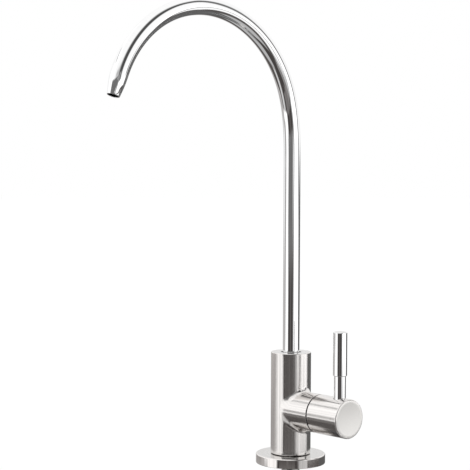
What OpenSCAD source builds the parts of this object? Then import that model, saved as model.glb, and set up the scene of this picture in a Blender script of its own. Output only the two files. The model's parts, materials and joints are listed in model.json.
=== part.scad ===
// Drinking water filter tap: a gooseneck spout on a round body with a quarter-turn handle at its side,
// and the threaded shank, nut and inlet fitting that hold and feed it under the deck.
// The origin is on the body axis at the deck. +Z is up, the spout points to -Y and the handle to +X.

/* [Spout] */
// Outside diameter of the spout tube
tube_od = 10.8; // [10:0.1:13]
// Wall of the spout tube
tube_wall = 1; // [0.8:0.1:1.2]
// Straight length of tube above the body
riser = 144; // [100:1:200]
// Radius of the bend at the middle of the tube
bend_radius = 71.5; // [50:0.5:100]
// Angle that the bend turns through
bend_sweep = 162; // [130:1:178]
// Length of the tapered nozzle
nozzle_length = 8.5; // [6:0.5:16]
// Outside diameter of the nozzle's mouth
mouth_od = 7.6; // [6.5:0.1:9]
// Wall at the nozzle's mouth
mouth_wall = 0.55; // [0.4:0.05:1]
// Depth of the tube in the body
tube_insert = 14; // [12:0.5:15]
// Length of the spigot's plug inside the tube
plug_length = 8; // [5:0.5:12]
// Diameter of the waterway through the spigot
spigot_bore = 6; // [4:0.5:6.5]
// Thickness of the spout's snap ring
snap_ring_t = 1; // [0.8:0.1:1.4]
// Reach of the snap ring into the body's wall
snap_ring_reach = 0.65; // [0.4:0.05:1]
// Wall of the bush round the tube
bush_wall = 1.1; // [0.8:0.1:2]
// Length of the bush
bush_length = 7.5; // [5:0.5:9]
// Depth of the bush below the body's top
bush_recess = 0.5; // [0.2:0.1:1]

/* [Body] */
// Diameter of the body
body_d = 26; // [25.4:0.2:32]
// Height of the handle axis above the deck
handle_z = 35; // [34:1:45]
// Height of the body above the handle axis
head_height = 37; // [36:1:50]
// Bevel round the body's top
body_top_edge = 0.4; // [0.2:0.1:1]
// Round of the body's foot
body_foot_edge = 1.2; // [0.4:0.1:2]
// Diameter of the waterways inside the body
waterway_d = 4.4; // [3.6:0.1:4.6]
// Diameter of the cross drilling to the valve
cross_drill_d = 4; // [3:0.1:4.4]
// Diameter of the passage from the valve to the spout
passage_d = 3.5; // [2.8:0.1:3.8]
// Wall between the valve bore and the spout socket
socket_floor = 2.5; // [1.5:0.1:3]
// Diameter of the base flange
flange_d = 45; // [43:1:60]
// Thickness of the base flange
flange_t = 6; // [5:0.5:8]
// Round of the flange's top rim
flange_edge = 0.8; // [0.3:0.1:1.5]

/* [Handle] */
// Diameter of the side boss and the handle cap
handle_d = 24.6; // [23.8:0.1:25.2]
// Distance of the boss face from the body axis
boss_reach = 26.2; // [25:0.2:32]
// Gap between the boss and the cap
handle_gap = 0.7; // [0.5:0.1:1.2]
// Length of the handle cap
handle_length = 25.4; // [24:0.2:32]
// Bevel round the cap's outer end
cap_edge = 0.5; // [0.2:0.1:1]
// Bevel at the boss face and the cap's inner rim
rim_edge = 0.2; // [0.1:0.05:0.4]
// Distance of the lever from the cap's inner rim
lever_offset = 17; // [15:0.5:18.5]
// Diameter of the lever's neck
neck_d = 7.4; // [6.6:0.1:8.2]
// Diameter of the lever's grip
grip_d = 8.8; // [8.4:0.1:12]
// Height of the lever's step above the handle axis
lever_step = 26; // [18:1:34]
// Height of the lever's top above the handle axis
lever_top = 53.5; // [40:0.5:70]
// Length of the bevel at the lever's step
step_bevel = 1; // [0.5:0.1:2]
// Bevel round the lever's top
lever_edge = 0.5; // [0.2:0.1:1]
// Depth of the lever's seat in the cap
lever_seat = 1.8; // [1.5:0.1:2.5]
// Diameter of the lever's stud
stud_d = 5; // [4:0.5:6]
// Thickness of the slip ring in the handle's gap
slip_ring_t = 0.5; // [0.3:0.05:0.5]
// Depth of the slip ring below the boss's surface
slip_ring_inset = 0.45; // [0.2:0.05:0.7]

/* [Valve] */
// Distance of the valve bore's floor from the body axis
valve_floor = 1.5; // [1.2:0.1:2.2]
// Diameter of the ceramic discs
disc_d = 13.2; // [12.6:0.1:13.6]
// Thickness of each ceramic disc
disc_t = 2; // [1.5:0.1:2.4]
// Diameter of the ports through the discs
port_d = 3.4; // [2.4:0.1:3.6]
// Distance of the ports from the disc's centre
port_offset = 3.9; // [3.6:0.1:4.2]
// Wall of the valve housing round the discs
insert_wall = 0.8; // [0.6:0.1:1]
// Water gap round the valve housing
annulus = 1; // [0.8:0.1:1.2]
// Thickness of the face seal under the discs
face_seal_t = 2; // [1.5:0.1:2.5]
// Length of the stem's driver
driver_t = 4; // [3:0.1:4.5]
// Width of the stem's driver bar
driver_w = 4.4; // [3.6:0.1:4.8]
// Width of the stem's tang in the moving disc
tang_w = 3; // [2:0.1:3.2]
// Depth of the stem's tang in the moving disc
tang_depth = 1; // [0.6:0.1:1.2]
// Thickness of the thrust washer
thrust_t = 0.5; // [0.3:0.1:0.8]
// Diameter of the stem
stem_d = 8; // [7:0.1:8.6]
// Width across the stem's two drive flats
drive_af = 6; // [5:0.1:6.4]
// Length of the stem past the lever's axis
stem_past_lever = 3.5; // [3:0.1:4.5]
// Seat of the hex head on the boss beyond the valve bore
hex_seat = 0.5; // [0.3:0.1:0.7]
// Thickness of the hex head
hex_t = 5; // [4:0.1:5.5]
// Diameter of the housing's neck
housing_neck_d = 12.4; // [11:0.1:14]
// Length of the housing's neck
housing_neck_length = 3; // [2:0.1:3.2]
// Thickness of the stem's clip
clip_t = 1; // [0.8:0.1:1.1]

/* [Seals] */
// Section of the O-rings on the spout's spigot
spout_ring_cord = 1.4; // [1:0.1:1.6]
// Section of the O-rings on the stem
stem_ring_cord = 1; // [0.8:0.1:1.2]
// Section of the O-ring on the valve housing
housing_ring_cord = 1.8; // [1.4:0.1:2]
// Section of the O-ring round the inlet tube
inlet_ring_cord = 1.4; // [1.2:0.1:1.6]
// Thickness of the flat seals at the shank's ends
flat_seal_t = 1.1; // [0.8:0.1:1.6]
// Width of the flat seal at the shank's top
shank_seal_w = 1.1; // [0.8:0.1:1.2]

/* [Mounting] */
// Diameter of the threaded shank
shank_d = 12; // [11:0.5:13]
// Waterway through the shank
shank_bore = 6; // [5:0.5:7]
// Pitch of the shank's thread
thread_pitch = 1; // [0.8:0.1:1.5]
// Depth of the shank's thread
thread_depth = 0.55; // [0.3:0.05:0.8]
// Length of the shank below the deck
shank_below = 46; // [42:1:60]
// Length of the shank's socket in the body
shank_socket = 12; // [9:0.5:13]
// Thickness of deck that the washers are set for
deck_t = 15; // [4:1:18]
// Outside diameter of the base gasket
gasket_d = 40; // [34:1:42]
// Inside diameter of the base gasket
gasket_bore = 28; // [24:1:31]
// Thickness of the base gasket
gasket_t = 2; // [1:0.1:3]
// Diameter of the rubber washer
rubber_washer_d = 36; // [28:1:44]
// Thickness of the rubber washer
rubber_washer_t = 3; // [2:0.1:4]
// Diameter of the steel washer
steel_washer_d = 32; // [26:1:40]
// Thickness of the steel washer
steel_washer_t = 1.5; // [1:0.1:2]
// Diameter of the toothed lock washer
lock_washer_d = 22; // [20:0.5:24]
// Thickness of the toothed lock washer
lock_washer_t = 1.2; // [0.8:0.1:1.6]
// Number of teeth round the lock washer
lock_teeth = 12; // [8:1:16]
// Width across the flats of the mounting nut
nut_af = 19; // [17:0.5:22]
// Thickness of the mounting nut
nut_t = 7; // [5:0.5:8]

/* [Inlet] */
// Bore that takes the water tube
inlet_bore = 6.5; // [6:0.1:7]
// Depth of the tube's bore
inlet_depth = 7; // [5:0.5:10]
// Width across the flats of the inlet fitting's hex
adapter_af = 18; // [17:0.5:20]
// Diameter of the inlet fitting's barrel
adapter_d = 16; // [15.4:0.2:18]
// Length of shank inside the inlet fitting
adapter_engage = 10; // [7:0.5:12]
// Floor between the shank and the tube's bore
adapter_floor = 3; // [2:0.1:4]
// Waterway through that floor
adapter_bore = 4.8; // [4:0.1:5.2]
// Wall of the collet's sleeve
collet_wall = 1.5; // [1.2:0.1:1.8]
// Diameter of the collet's press ring
collet_ring_d = 13.4; // [12.6:0.2:15]
// Thickness of the collet's press ring
collet_ring_t = 1.5; // [1:0.1:2]
// Length of the collet's barbs
barb_length = 2.2; // [1.5:0.1:2.6]
// Height of the collet's barbs
barb_height = 0.5; // [0.3:0.05:0.6]
// Travel of the collet when it is pressed
collet_travel = 1.2; // [0.8:0.1:1.4]
// Thickness of the guide ring above the collet
guide_t = 1.2; // [0.8:0.1:2]
// Thickness of the lip that keeps the collet in
lip_t = 1.8; // [1.2:0.1:2.4]

/* [Fits] */
// Radial clearance of turning pieces
run_fit = 0.05; // [0.03:0.01:0.08]
// Radial clearance of fixed pieces
seat_fit = 0.05; // [0.02:0.01:0.1]
// Clearance between a ring seal and the wall that it seals
seal_fit = 0.03; // [0.02:0.01:0.05]
// Clearance round the shank in the flange and the washers
shank_clear = 0.3; // [0.2:0.05:0.5]
// Clearance of the snap ring and the clip in their grooves
ring_clear = 0.2; // [0.1:0.05:0.3]
// Clearance of loose pieces inside the handle and the fitting
loose_fit = 0.5; // [0.4:0.05:0.6]

/* [Hidden] */
$fn = 96;
// Length by which a cut runs past the face it opens
past = 1;
// Width of a ring seal's groove in sections of the ring
groove_room = 1.2;
// Steps in a rounded edge
round_steps = 5;
// Length and depth of the swage line where the nozzle leaves the bend
swage_lap = 1;
swage_step = 0.05;

satin_steel = [0.72, 0.70, 0.68];
polished_steel = [0.82, 0.82, 0.83];
brass = [0.78, 0.62, 0.32];
ceramic = [0.93, 0.92, 0.88];
rubber = [0.10, 0.10, 0.11];
dark_plastic = [0.16, 0.16, 0.17];
white_plastic = [0.90, 0.90, 0.88];
grey_plastic = [0.55, 0.57, 0.60];

// Spout and its socket
tube_r = tube_od / 2;
tube_bore_r = tube_r - tube_wall;
mouth_r = mouth_od / 2;
body_r = body_d / 2;
body_top = handle_z + head_height;
bend_z = body_top + riser;
tube_end_z = body_top - tube_insert;
socket_r = tube_r + run_fit;
bush_r = socket_r + bush_wall;
bush_top_z = body_top - bush_recess;
bush_foot_z = bush_top_z - bush_length;

// Valve bore and the spout socket above it
disc_r = disc_d / 2;
chamber_r = disc_r + 2 * run_fit;
insert_r = chamber_r + insert_wall;
valve_bore_r = insert_r + annulus;
socket_z = handle_z + valve_bore_r + socket_floor;
spigot_end_z = socket_z + ring_clear;
snap_ring_z = tube_end_z - 2 * snap_ring_t;
snap_ring_r = socket_r + snap_ring_reach;
snap_root_r = tube_r - snap_ring_t;
// Heights of the two spigot seals above the spigot's end
spout_ring_rise = [for (i = [1, 3]) i * groove_room * spout_ring_cord];

// Handle and valve stations along the handle axis
handle_r = handle_d / 2;
cap_x = boss_reach + handle_gap;
cap_end_x = cap_x + handle_length;
lever_x = cap_x + lever_offset;
fixed_disc_x = valve_floor + face_seal_t;
moving_disc_x = fixed_disc_x + disc_t + run_fit;
driver_x = moving_disc_x + disc_t + run_fit;
thrust_x = driver_x + driver_t + run_fit;
shoulder_x = thrust_x + thrust_t;
hex_end_x = boss_reach + hex_t;
neck_end_x = hex_end_x + housing_neck_length;
clip_x = neck_end_x + run_fit;
hollow_end_x = clip_x + clip_t + 2 * loose_fit;
stem_end_x = lever_x + stem_past_lever;
hex_r = (valve_bore_r + hex_seat) / cos(30);
hollow_r = hex_r + loose_fit;
stem_r = stem_d / 2;
stem_hole_r = stem_r + run_fit;
clip_root_r = stem_r - clip_t / 2;
lever_seat_z = handle_r - lever_seat;
housing_ring_x = shoulder_x + annulus + 1.5 * housing_ring_cord;
stem_ring_x = [for (i = [2, 5]) shoulder_x + i * 2 * stem_ring_cord];

// Waterways in the body
inlet_x = -(waterway_d / 2 + seat_fit);
passage_x = valve_floor + passage_d / 2 + seat_fit;

// Shank and the pieces on it
shank_r = shank_d / 2;
shank_hole_r = shank_r + shank_clear;
shank_fit_r = shank_r + seat_fit;
shank_socket_z = flange_t + shank_socket;
shank_top_z = shank_socket_z - flat_seal_t;
thread_top_z = -1.5 * thread_pitch;
rubber_washer_z = -deck_t - rubber_washer_t;
steel_washer_z = rubber_washer_z - steel_washer_t;
lock_washer_z = steel_washer_z - lock_washer_t;
nut_z = lock_washer_z - nut_t;

// Inlet fitting, downwards from its top
adapter_top_z = adapter_engage - shank_below;
adapter_seal_z = -shank_below - flat_seal_t;
tube_stop_z = adapter_seal_z - adapter_floor;
inlet_r = inlet_bore / 2;
clear_inlet_r = inlet_r + 2 * run_fit;
inlet_ring_groove = groove_room * inlet_ring_cord;
inlet_ring_r = inlet_r + run_fit;
ring_groove_z = tube_stop_z - inlet_depth;
collet_guide_z = ring_groove_z - inlet_ring_groove;
chamber_z = collet_guide_z - guide_t;
collet_r = clear_inlet_r + collet_wall;
barb_r = collet_r + barb_height;
collet_top_z = chamber_z - collet_travel - loose_fit;
lip_z = collet_top_z - barb_length - ring_clear;
adapter_end_z = lip_z - lip_t;
press_ring_z = adapter_end_z - collet_travel - ring_clear;
collet_end_z = press_ring_z - collet_ring_t;

// Points of a round with centre c and radius r, from angle a to angle b
function round_edge(c, r, a, b) =
  [for (i = [0:round_steps]) let (t = a + (b - a) * i / round_steps) c + r * [cos(t), sin(t)]];

// Points up the side of a thread of outer radius r, drawn as rings
function thread_side(r, depth, pitch, low, high) =
  [for (i = [0:floor((high - low) / pitch) - 1])
    for (p = [[r - depth, 0], [r, 0.4], [r, 0.6]]) [p[0], low + (i + p[1]) * pitch]];

// A turned piece about Z from its half outline
module turned(outline) rotate_extrude() polygon(outline);

// A ring about Z, standing on z
module ring(outer, inner, z, height)
  translate([0, 0, z]) difference() {
    cylinder(r = outer, h = height);
    translate([0, 0, -past]) cylinder(r = inner, h = height + 2 * past);
  }

// A ring seal about Z with its middle at z
module o_ring(inner, cord, z)
  translate([0, 0, z]) rotate_extrude() translate([inner + cord / 2, 0]) circle(d = cord, $fn = 32);

// A hexagonal bar with bevelled corners
module hex_bar(flats, height, bevel) {
  corner = flats / 2 / cos(30);
  intersection() {
    cylinder(r = corner, h = height, $fn = 6);
    turned([[0, 0], [corner - bevel, 0], [corner, bevel * tan(30)],
            [corner, height - bevel * tan(30)], [corner - bevel, height], [0, height]]);
  }
}

// Places children with their Z along the handle axis, x from the body axis
module on_handle_axis(x) translate([x, 0, handle_z]) rotate([0, 90, 0]) children();

// Base pieces

module body_shell()
  turned(concat(
    [[0, flange_t]],
    round_edge([body_r - body_foot_edge, flange_t + body_foot_edge], body_foot_edge, -90, 0),
    [[body_r, body_top - body_top_edge], [body_r - body_top_edge, body_top], [0, body_top]]));

module side_boss()
  on_handle_axis(0)
    turned([[0, 0], [handle_r, 0], [handle_r, boss_reach - rim_edge],
            [handle_r - rim_edge, boss_reach], [0, boss_reach]]);

module spout_socket() {
  translate([0, 0, bush_foot_z]) cylinder(r = bush_r + seat_fit, h = bush_length + bush_recess + past);
  translate([0, 0, socket_z]) cylinder(r = socket_r, h = bush_foot_z - socket_z + past);
  translate([0, 0, snap_ring_z - ring_clear])
    cylinder(r = snap_ring_r + ring_clear, h = snap_ring_t + 2 * ring_clear);
}

module waterways() {
  translate([inlet_x, 0, shank_socket_z - past])
    cylinder(d = waterway_d, h = handle_z + waterway_d / 2 - shank_socket_z + past);
  on_handle_axis(inlet_x) cylinder(d = cross_drill_d, h = valve_floor - inlet_x + past);
  translate([passage_x, 0, handle_z + valve_bore_r / 2])
    cylinder(d = passage_d, h = socket_z - handle_z - valve_bore_r / 2 + past);
}

module tap_body()
  color(satin_steel) difference() {
    union() {
      body_shell();
      side_boss();
    }
    spout_socket();
    on_handle_axis(valve_floor) cylinder(r = valve_bore_r, h = boss_reach - valve_floor + past);
    waterways();
    translate([0, 0, flange_t - past]) cylinder(r = shank_fit_r, h = shank_socket + past);
  }

module base_flange()
  color(satin_steel) difference() {
    turned(concat(
      [[0, 0], [flange_d / 2, 0]],
      round_edge([flange_d / 2 - flange_edge, flange_t - flange_edge], flange_edge, 0, 90),
      [[0, flange_t]]));
    translate([0, 0, -past]) cylinder(r = shank_hole_r, h = flange_t + 2 * past);
    ring(gasket_d / 2 + seat_fit, gasket_bore / 2 - seat_fit, -past, gasket_t + past);
  }

module base_gasket() color(rubber) ring(gasket_d / 2, gasket_bore / 2, 0, gasket_t);

module threaded_shank()
  color(satin_steel) difference() {
    turned(concat(
      [[0, -shank_below], [shank_r - thread_depth, -shank_below]],
      thread_side(shank_r, thread_depth, thread_pitch, -shank_below + thread_pitch / 2, thread_top_z),
      [[shank_r - thread_depth, thread_top_z], [shank_r, thread_top_z + thread_depth],
       [shank_r, shank_top_z - thread_depth], [shank_r - thread_depth, shank_top_z], [0, shank_top_z]]));
    translate([0, 0, -shank_below - past])
      cylinder(d = shank_bore, h = shank_below + shank_top_z + 2 * past);
  }

module shank_seal()
  color(rubber) ring(shank_r - seat_fit, shank_r - shank_seal_w, shank_top_z, flat_seal_t);

module spout_bush() color(dark_plastic) ring(bush_r, socket_r, bush_foot_z, bush_length);

module rubber_washer()
  color(rubber) ring(rubber_washer_d / 2, shank_hole_r, rubber_washer_z, rubber_washer_t);

module steel_washer()
  color(polished_steel) ring(steel_washer_d / 2, shank_hole_r, steel_washer_z, steel_washer_t);

module lock_washer() {
  tooth_pitch = PI * lock_washer_d / lock_teeth;
  color(polished_steel) difference() {
    ring(lock_washer_d / 2, shank_hole_r, lock_washer_z, lock_washer_t);
    for (i = [0:lock_teeth - 1]) rotate(i * 360 / lock_teeth)
      translate([lock_washer_d / 2 - lock_washer_t, -tooth_pitch / 4, lock_washer_z - past])
        cube([2 * lock_washer_t, tooth_pitch / 2, lock_washer_t + 2 * past]);
  }
}

module mounting_nut()
  color(brass) translate([0, 0, nut_z]) difference() {
    hex_bar(nut_af, nut_t, lock_washer_t);
    translate([0, 0, -past]) cylinder(r = shank_fit_r, h = nut_t + 2 * past);
  }

// Valve pieces that stay still

module cartridge_body()
  color(brass) difference() {
    union() {
      on_handle_axis(0) turned([
        [0, fixed_disc_x], [insert_r, fixed_disc_x], [insert_r, shoulder_x + annulus],
        [valve_bore_r - seat_fit, shoulder_x + annulus], [valve_bore_r - seat_fit, boss_reach],
        [0, boss_reach]]);
      on_handle_axis(boss_reach) hex_bar(2 * hex_r * cos(30), hex_t, rim_edge);
      on_handle_axis(hex_end_x) cylinder(d = housing_neck_d, h = housing_neck_length);
    }
    on_handle_axis(fixed_disc_x - past) cylinder(r = chamber_r, h = shoulder_x - fixed_disc_x + past);
    on_handle_axis(fixed_disc_x) cylinder(r = stem_hole_r, h = neck_end_x - fixed_disc_x + past);
    // Outlet windows above and below the driver
    translate([driver_x, -port_d, handle_z - valve_bore_r])
      cube([driver_t, 2 * port_d, 2 * valve_bore_r]);
    on_handle_axis(housing_ring_x - groove_room / 2 * housing_ring_cord)
      ring(valve_bore_r + past, valve_bore_r - 2 * seal_fit - housing_ring_cord,
           0, groove_room * housing_ring_cord);
  }

module cartridge_seal()
  color(rubber) on_handle_axis(valve_floor) ring(insert_r, waterway_d / 2 + insert_wall, 0, face_seal_t);

module cartridge_o_ring()
  color(rubber) on_handle_axis(housing_ring_x)
    o_ring(valve_bore_r - seal_fit - housing_ring_cord, housing_ring_cord, 0);

// A ceramic disc with two ports on its local X
module ported_disc()
  difference() {
    cylinder(r = disc_r, h = disc_t);
    for (side = [-1, 1]) translate([side * port_offset, 0, -past])
      cylinder(d = port_d, h = disc_t + 2 * past);
  }

module fixed_ceramic_disc() color(ceramic) on_handle_axis(fixed_disc_x) ported_disc();

module thrust_washer()
  color(white_plastic) on_handle_axis(thrust_x) ring(disc_r, stem_hole_r, 0, thrust_t);

module handle_slip_ring()
  color(dark_plastic) on_handle_axis(boss_reach) ring(handle_r - slip_ring_inset, hollow_r, 0, slip_ring_t);

// Handle pieces

module moving_ceramic_disc()
  color(ceramic) on_handle_axis(moving_disc_x) difference() {
    rotate(90) ported_disc();
    translate([-disc_r - past, -tang_w / 2 - seat_fit, disc_t - tang_depth - seat_fit])
      cube([disc_d + 2 * past, tang_w + 2 * seat_fit, tang_depth + past]);
  }

// A round bar cut to two flats that face local X
module flatted_bar(r, flats, height)
  intersection() {
    cylinder(r = r, h = height);
    translate([-flats / 2, -r - past, 0]) cube([flats, 2 * (r + past), height]);
  }

module cartridge_stem() {
  driver_r = disc_r - 2 * run_fit;
  color(brass) difference() {
    union() {
      on_handle_axis(driver_x) rotate(90) flatted_bar(driver_r, driver_w, driver_t);
      on_handle_axis(driver_x - tang_depth) rotate(90) flatted_bar(driver_r, tang_w, driver_t);
      on_handle_axis(driver_x) cylinder(r = stem_r, h = hollow_end_x - driver_x);
      on_handle_axis(hollow_end_x - past) flatted_bar(stem_r, drive_af, stem_end_x - hollow_end_x + past);
    }
    for (x = stem_ring_x) on_handle_axis(x - groove_room / 2 * stem_ring_cord)
      ring(stem_r + past, stem_hole_r - 2 * seal_fit - stem_ring_cord, 0, groove_room * stem_ring_cord);
    on_handle_axis(clip_x) ring(stem_r + past, clip_root_r, 0, clip_t + ring_clear);
  }
}

module stem_o_rings()
  color(rubber) for (x = stem_ring_x)
    on_handle_axis(0) o_ring(stem_hole_r - seal_fit - stem_ring_cord, stem_ring_cord, x);

// An open ring clip about Z with its gap on local X
module open_ring(outer, inner, z, height)
  difference() {
    ring(outer, inner, z, height);
    translate([0, -inner / 2, z - past]) cube([outer + past, inner, height + 2 * past]);
  }

module stem_clip()
  color(polished_steel) on_handle_axis(clip_x)
    open_ring(stem_r + clip_t, clip_root_r + seat_fit, run_fit, clip_t);

module handle_cap()
  color(satin_steel) difference() {
    on_handle_axis(0) turned([
      [0, cap_x], [handle_r - rim_edge, cap_x], [handle_r, cap_x + rim_edge],
      [handle_r, cap_end_x - cap_edge], [handle_r - cap_edge, cap_end_x], [0, cap_end_x]]);
    on_handle_axis(cap_x - past) cylinder(r = hollow_r, h = hollow_end_x - cap_x + past);
    on_handle_axis(hollow_end_x - past)
      flatted_bar(stem_r + seat_fit, drive_af + 2 * seat_fit, stem_end_x - hollow_end_x + past + ring_clear);
    translate([lever_x, 0, handle_z + lever_seat_z])
      cylinder(r = neck_d / 2 + seat_fit, h = lever_seat + past);
    translate([lever_x, 0, handle_z]) cylinder(r = stud_d / 2 + seat_fit, h = lever_seat_z + past);
  }

module handle_lever()
  color(polished_steel) translate([lever_x, 0, handle_z]) turned([
    [0, drive_af / 2 + seat_fit], [stud_d / 2, drive_af / 2 + seat_fit], [stud_d / 2, lever_seat_z],
    [neck_d / 2, lever_seat_z], [neck_d / 2, lever_step], [grip_d / 2, lever_step + step_bevel],
    [grip_d / 2, lever_top - lever_edge], [grip_d / 2 - lever_edge, lever_top], [0, lever_top]]);

// Spout pieces

module tube_section(outer, inner)
  difference() {
    circle(r = outer);
    circle(r = inner);
  }

module spout_tube()
  color(polished_steel) union() {
    translate([0, 0, tube_end_z]) linear_extrude(bend_z - tube_end_z) tube_section(tube_r, tube_bore_r);
    translate([0, -bend_radius, bend_z]) rotate([90, 0, 90]) rotate_extrude(angle = bend_sweep)
      translate([bend_radius, 0]) tube_section(tube_r, tube_bore_r);
    translate([0, bend_radius * (cos(bend_sweep) - 1), bend_z + bend_radius * sin(bend_sweep)])
      rotate([bend_sweep, 0, 0]) turned([
        [tube_bore_r + swage_step, -swage_lap], [tube_r - swage_step, -swage_lap], [tube_r - swage_step, 0],
        [mouth_r, nozzle_length], [mouth_r - mouth_wall, nozzle_length], [tube_bore_r + swage_step, 0]]);
  }

module spout_spigot()
  color(brass) difference() {
    turned([
      [0, spigot_end_z], [tube_r, spigot_end_z], [tube_r, tube_end_z], [tube_bore_r - seat_fit, tube_end_z],
      [tube_bore_r - seat_fit, tube_end_z + plug_length], [0, tube_end_z + plug_length]]);
    translate([0, 0, spigot_end_z - past])
      cylinder(d = spigot_bore, h = tube_end_z + plug_length - spigot_end_z + 2 * past);
    for (rise = spout_ring_rise)
      translate([0, 0, spigot_end_z + rise - groove_room / 2 * spout_ring_cord])
        ring(tube_r + past, socket_r - 2 * seal_fit - spout_ring_cord, 0, groove_room * spout_ring_cord);
    ring(tube_r + past, snap_root_r, snap_ring_z - ring_clear / 2, snap_ring_t + ring_clear);
  }

module spout_o_rings()
  color(rubber) for (rise = spout_ring_rise)
    o_ring(socket_r - seal_fit - spout_ring_cord, spout_ring_cord, spigot_end_z + rise);

module spout_snap_ring()
  color(polished_steel) open_ring(snap_ring_r, snap_root_r + seat_fit, snap_ring_z, snap_ring_t);

// Inlet fitting

module inlet_adapter()
  color(white_plastic) difference() {
    union() {
      translate([0, 0, -shank_below]) hex_bar(adapter_af, adapter_engage, lip_t / 2);
      turned([[0, adapter_end_z], [adapter_d / 2 - lip_t / 2, adapter_end_z],
              [adapter_d / 2, adapter_end_z + lip_t / 2],
              [adapter_d / 2, -shank_below + past], [0, -shank_below + past]]);
    }
    translate([0, 0, adapter_seal_z]) cylinder(r = shank_fit_r, h = adapter_top_z - adapter_seal_z + past);
    translate([0, 0, tube_stop_z - past]) cylinder(d = adapter_bore, h = adapter_floor + 2 * past);
    translate([0, 0, collet_guide_z - past]) cylinder(r = inlet_r, h = tube_stop_z - collet_guide_z + past);
    translate([0, 0, collet_guide_z])
      cylinder(r = inlet_ring_r + inlet_ring_cord + seal_fit, h = inlet_ring_groove);
    translate([0, 0, chamber_z - past]) cylinder(r = clear_inlet_r, h = collet_guide_z - chamber_z + past);
    translate([0, 0, lip_z]) cylinder(r = barb_r + ring_clear, h = chamber_z - lip_z);
    translate([0, 0, adapter_end_z - past]) cylinder(r = collet_r + ring_clear, h = lip_t + 2 * past);
  }

module adapter_seal() color(rubber) ring(shank_r - seat_fit, adapter_bore / 2, adapter_seal_z, flat_seal_t);

module adapter_o_ring()
  color(rubber) o_ring(inlet_ring_r, inlet_ring_cord, (ring_groove_z + collet_guide_z) / 2);

module adapter_collet() {
  barb_z = collet_top_z - barb_length;
  color(grey_plastic) difference() {
    turned([
      [0, collet_end_z], [collet_ring_d / 2, collet_end_z], [collet_ring_d / 2, press_ring_z],
      [collet_r, press_ring_z], [collet_r, barb_z], [barb_r, barb_z], [collet_r, collet_top_z],
      [0, collet_top_z]]);
    translate([0, 0, collet_end_z - past])
      cylinder(r = clear_inlet_r, h = collet_top_z - collet_end_z + 2 * past);
    // Slots that part the gripping fingers
    for (turn = [0, 90]) rotate(turn)
      translate([-barb_r - past, -ring_clear * 2, barb_z - barb_length])
        cube([2 * (barb_r + past), ring_clear * 4, 2 * barb_length + past]);
  }
}

tap_body();
base_flange();
base_gasket();
threaded_shank();
shank_seal();
spout_bush();
cartridge_body();
cartridge_seal();
cartridge_o_ring();
fixed_ceramic_disc();
thrust_washer();
handle_slip_ring();
rubber_washer();
steel_washer();
lock_washer();
mounting_nut();
inlet_adapter();
adapter_seal();
adapter_o_ring();
adapter_collet();
spout_tube();
spout_spigot();
spout_o_rings();
spout_snap_ring();
handle_cap();
handle_lever();
cartridge_stem();
moving_ceramic_disc();
stem_o_rings();
stem_clip();
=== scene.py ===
"""Dresses the drinking water filter tap for its studio picture.

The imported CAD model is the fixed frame. Each sub-assembly is a class that takes its main sizes from
the frame, builds finer meshes for the pieces that show, and dresses the solids that stay.
"""

import json
import logging
import math
from dataclasses import dataclass, field
from enum import Enum
from functools import cache, partial
from typing import Sequence

import bmesh
import bpy
import numpy as np
from mathutils import Matrix, Vector

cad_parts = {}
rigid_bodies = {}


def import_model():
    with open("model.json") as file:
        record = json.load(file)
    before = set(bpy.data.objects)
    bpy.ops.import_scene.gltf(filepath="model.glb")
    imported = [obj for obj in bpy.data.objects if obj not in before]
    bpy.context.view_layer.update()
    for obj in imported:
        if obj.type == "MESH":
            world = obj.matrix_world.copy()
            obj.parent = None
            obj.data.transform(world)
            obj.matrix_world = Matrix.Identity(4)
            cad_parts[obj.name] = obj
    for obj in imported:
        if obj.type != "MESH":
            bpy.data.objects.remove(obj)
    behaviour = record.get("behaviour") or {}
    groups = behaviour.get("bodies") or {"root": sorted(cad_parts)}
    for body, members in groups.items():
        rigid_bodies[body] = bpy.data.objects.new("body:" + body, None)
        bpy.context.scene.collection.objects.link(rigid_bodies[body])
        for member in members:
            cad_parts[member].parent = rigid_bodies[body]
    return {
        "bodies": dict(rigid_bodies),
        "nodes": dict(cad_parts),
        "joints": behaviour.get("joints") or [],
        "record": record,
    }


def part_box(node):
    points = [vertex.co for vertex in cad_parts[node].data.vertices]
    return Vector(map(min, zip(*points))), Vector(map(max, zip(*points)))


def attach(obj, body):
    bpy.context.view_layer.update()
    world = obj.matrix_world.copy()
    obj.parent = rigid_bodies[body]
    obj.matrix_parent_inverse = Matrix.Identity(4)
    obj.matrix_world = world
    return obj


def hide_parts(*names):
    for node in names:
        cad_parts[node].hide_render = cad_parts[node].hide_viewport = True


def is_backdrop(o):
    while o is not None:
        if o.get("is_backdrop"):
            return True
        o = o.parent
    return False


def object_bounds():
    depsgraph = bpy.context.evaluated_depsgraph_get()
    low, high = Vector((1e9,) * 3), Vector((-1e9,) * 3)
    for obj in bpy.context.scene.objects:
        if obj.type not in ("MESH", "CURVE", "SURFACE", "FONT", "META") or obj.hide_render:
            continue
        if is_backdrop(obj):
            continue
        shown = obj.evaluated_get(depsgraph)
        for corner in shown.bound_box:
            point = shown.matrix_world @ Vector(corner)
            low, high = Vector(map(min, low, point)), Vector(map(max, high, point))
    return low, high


LOG = logging.getLogger("filter_tap")
MM = 0.001
MICRON = 0.001 * MM
# Points of neighbouring patches closer than this are one point
WELD = 1e-6
# Name of the map that runs across the tool marks first and along them second
GRAIN_MAP = "grain"

Corner = tuple[float, ...]
Outline = list[tuple[float, float]]
Colour = tuple[float, float, float]
Measure = np.ndarray | float
Node = bpy.types.ShaderNode
Tree = bpy.types.NodeTree
Socket = bpy.types.NodeSocket

UP = Vector((0.0, 0.0, 1.0))
WHITE: Colour = (1.0, 1.0, 1.0)


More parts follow.
